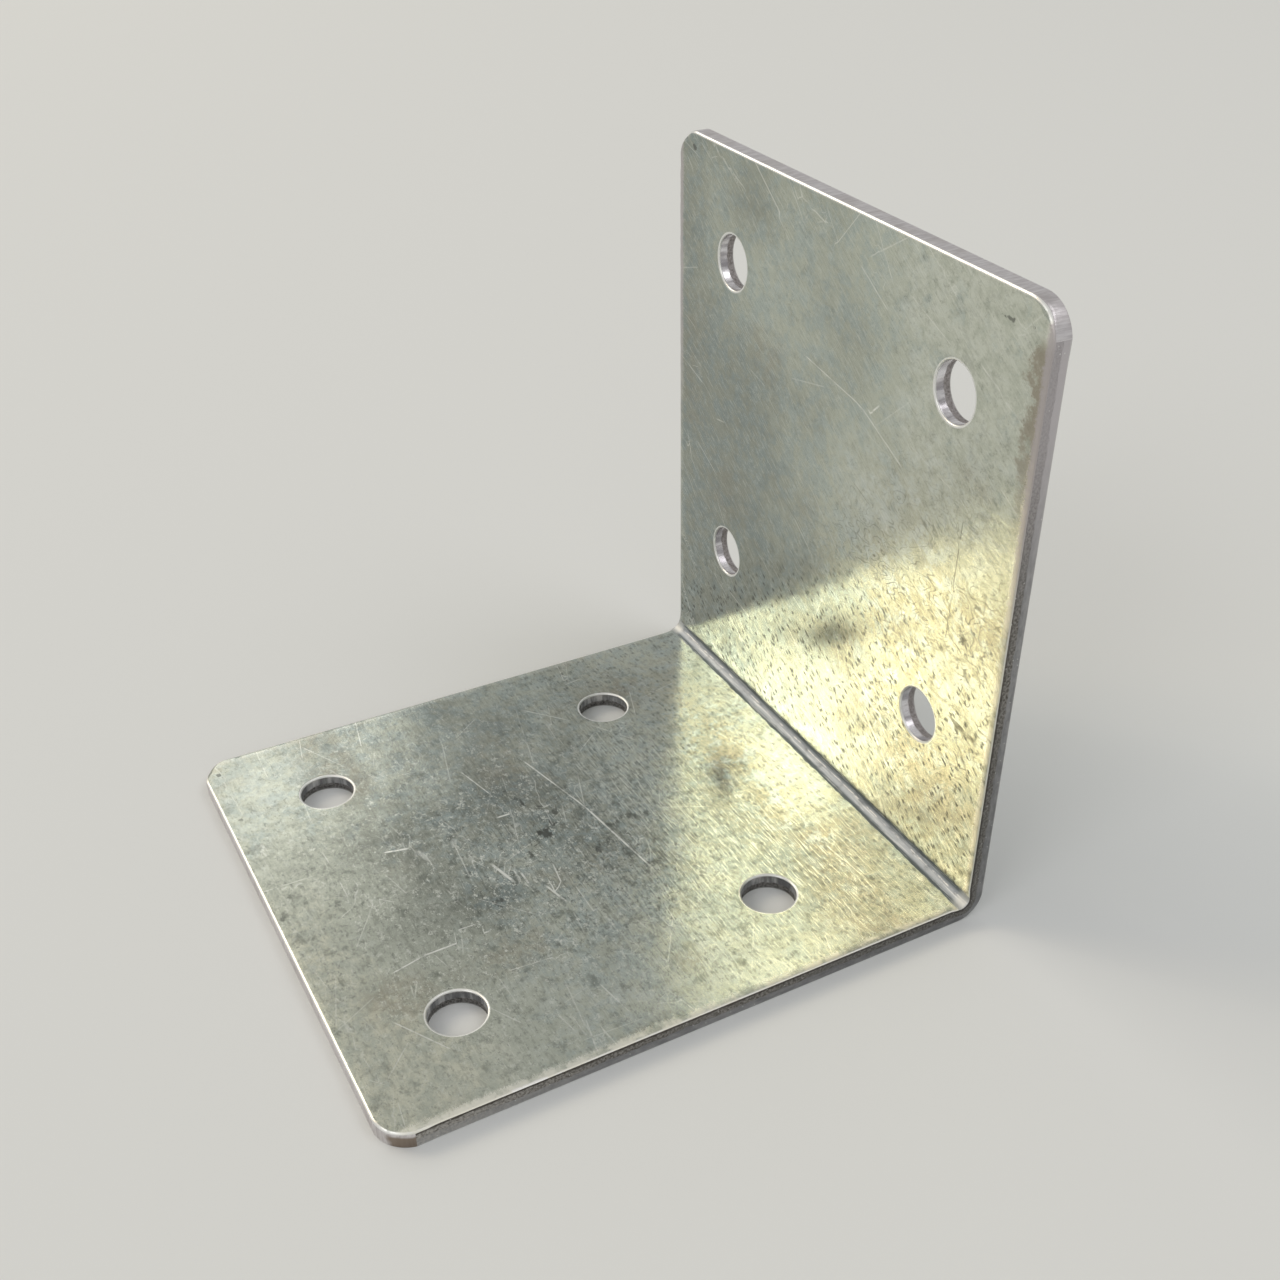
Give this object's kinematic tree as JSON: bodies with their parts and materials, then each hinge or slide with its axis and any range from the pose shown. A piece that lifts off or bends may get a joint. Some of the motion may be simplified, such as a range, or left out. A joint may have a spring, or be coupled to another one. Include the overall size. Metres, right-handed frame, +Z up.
{
  "type": "sleeper corner bracket",
  "caption": "Right-angle corner bracket pressed from one flat strip of zinc coated steel, with punched fixing holes in both legs.",
  "frame": {"origin": "on the floor, in the middle of the footprint of the standing bracket", "axes": "+X along the bend, +Y out of the upright leg's outer face, +Z up; the base leg reaches from the heel toward -Y"},
  "size_m": [0.1008, 0.105, 0.105],
  "materials": {
    "zinc_steel": "zinc coated, satin, lightly mottled and rubbed"
  },
  "bodies": {
    "root": {"bracket": "zinc_steel"}
  },
  "joints": []
}
